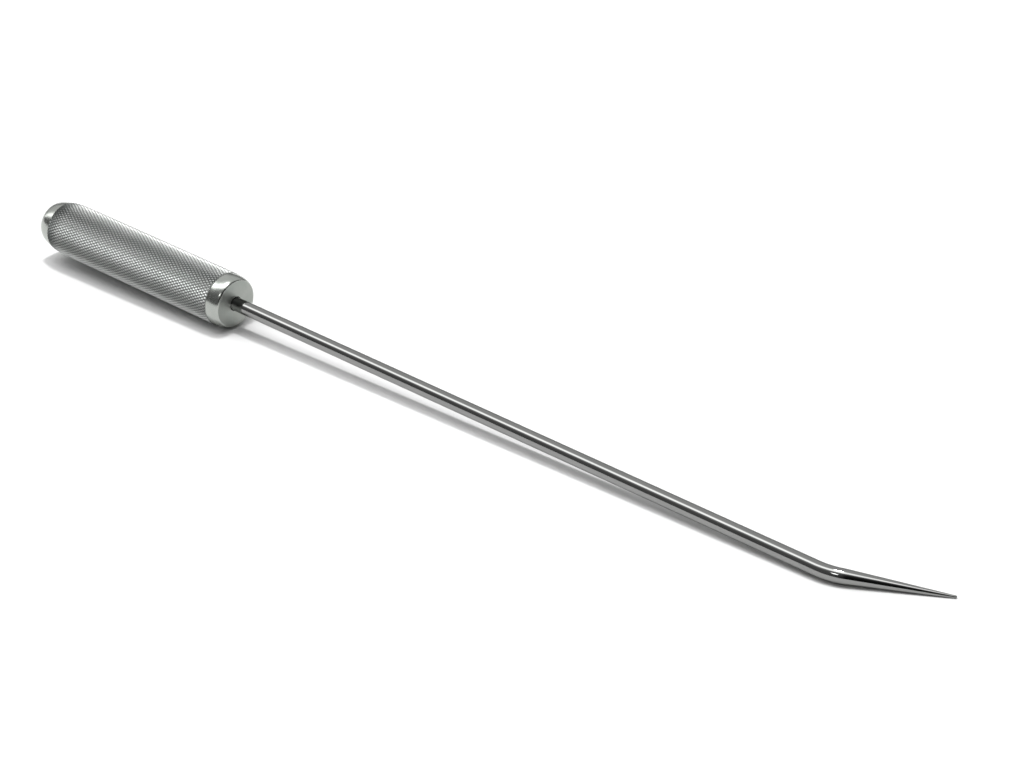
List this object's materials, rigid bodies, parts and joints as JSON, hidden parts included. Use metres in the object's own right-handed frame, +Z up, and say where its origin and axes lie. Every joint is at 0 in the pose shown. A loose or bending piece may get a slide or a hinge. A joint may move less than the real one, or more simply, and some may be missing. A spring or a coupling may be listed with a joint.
{
  "type": "bent-tip scriber",
  "caption": "Long polished steel rod with a gently bent, tapered blunt tip, held in a cylindrical knurled aluminium handle.",
  "frame": {"origin": "centre of the whole tool's footprint, on the surface that it lies on", "axes": "+X along the tool towards the tip, +Y towards the side that the tip bends to, +Z up with the tool lying down"},
  "size_m": [0.6062, 0.043, 0.0353],
  "materials": {
    "handle_aluminium": "bare metal, knurled grip, bright turned ends",
    "rod_steel": "mirror polished",
    "screw_steel": "black oxide"
  },
  "bodies": {
    "root": {"handle": "handle_aluminium", "rod": "rod_steel", "grub_screws": "screw_steel"}
  },
  "joints": []
}
